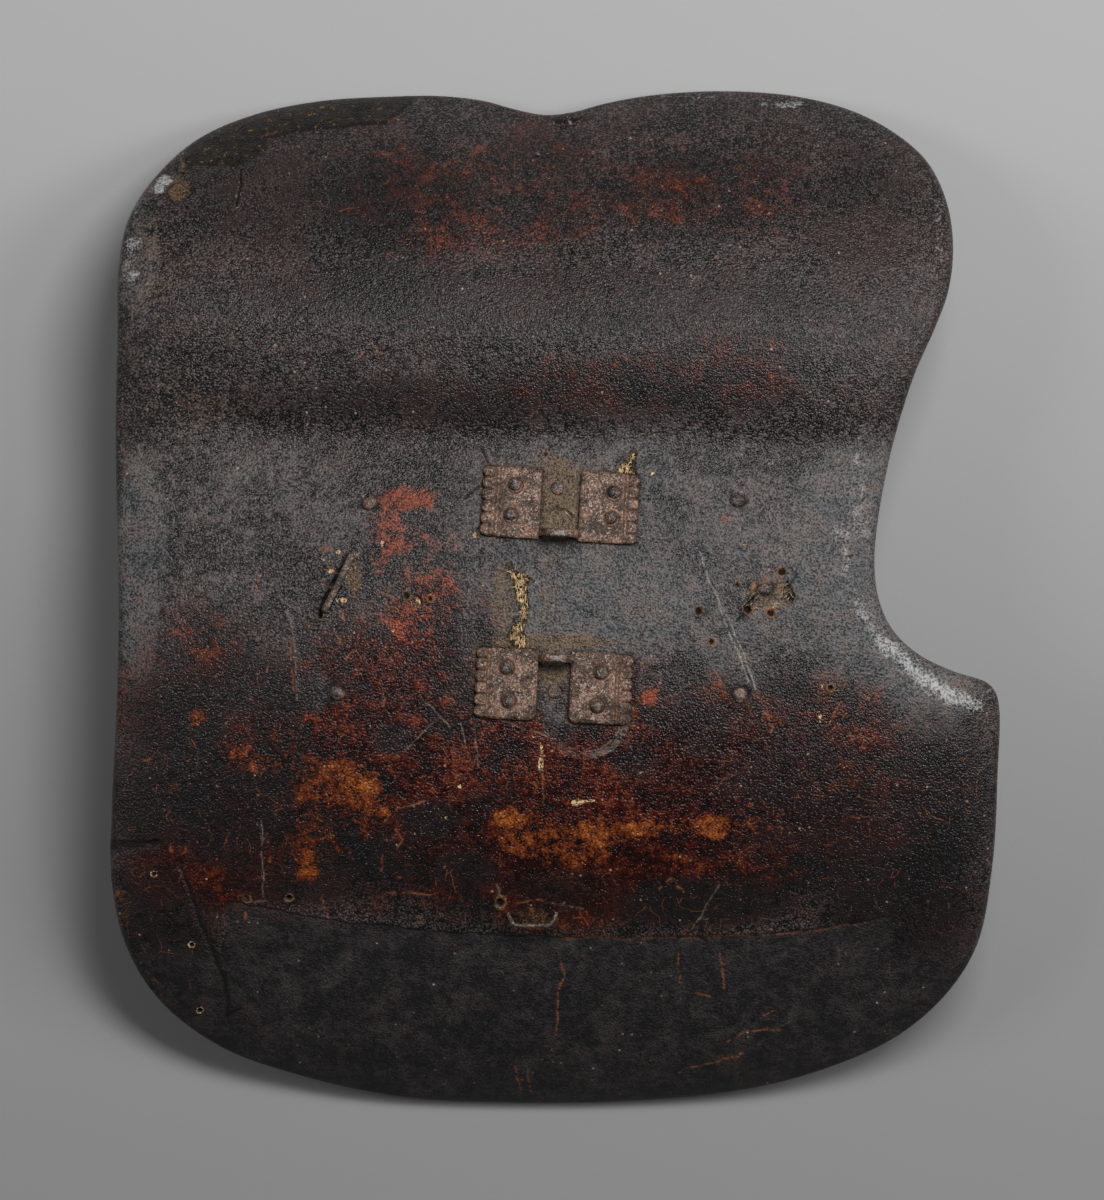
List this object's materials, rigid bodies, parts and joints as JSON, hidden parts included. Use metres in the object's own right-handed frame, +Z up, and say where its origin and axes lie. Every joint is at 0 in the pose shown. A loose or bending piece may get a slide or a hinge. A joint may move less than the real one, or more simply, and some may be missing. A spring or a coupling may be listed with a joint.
{
  "type": "targe",
  "caption": "Jousting targe lying on its front: bent wooden board covered in dark worn leather, with a lance notch and iron strap brackets on its back.",
  "frame": {"origin": "middle of the bounding box's underside, on the floor that the front lies on", "axes": "+X to the right as the bearer sees the back, to the lance notch; +Y to the top edge; +Z up, out of the back"},
  "size_m": [0.4699, 0.54, 0.1177],
  "materials": {
    "dark_leather": "dark worn hide, dusty on the top, glossy red-brown and rubbed to orange in the lower half",
    "bracket_iron": "forged iron with an even brown rust, filed grooves, crowns worn bright",
    "nail_iron": "domed iron heads, brown rust",
    "staple_iron": "drawn and hammered iron, dull brown-grey",
    "tow": "pale straw-coloured fibres in the torn places"
  },
  "bodies": {
    "root": {"shield_board": "dark_leather", "upper_strap_bracket": "bracket_iron", "lower_strap_bracket": "bracket_iron", "upper_bracket_rivet_1": "nail_iron", "upper_bracket_rivet_2": "nail_iron", "upper_bracket_rivet_3": "nail_iron", "upper_bracket_rivet_4": "nail_iron", "lower_bracket_rivet_1": "nail_iron", "lower_bracket_rivet_2": "nail_iron", "lower_bracket_rivet_3": "nail_iron", "lower_bracket_rivet_4": "nail_iron", "upper_middle_nail": "nail_iron", "lower_middle_nail": "nail_iron", "board_nail_upper_left": "nail_iron", "board_nail_upper_right": "nail_iron", "board_nail_lower_left": "nail_iron", "board_nail_lower_right": "nail_iron", "patch_rivet": "nail_iron", "pin_top_left": "nail_iron", "pin_top_right": "nail_iron", "pin_flange_right": "nail_iron", "pin_side": "nail_iron", "side_staple": "staple_iron", "wire_staple": "staple_iron"}
  },
  "joints": []
}
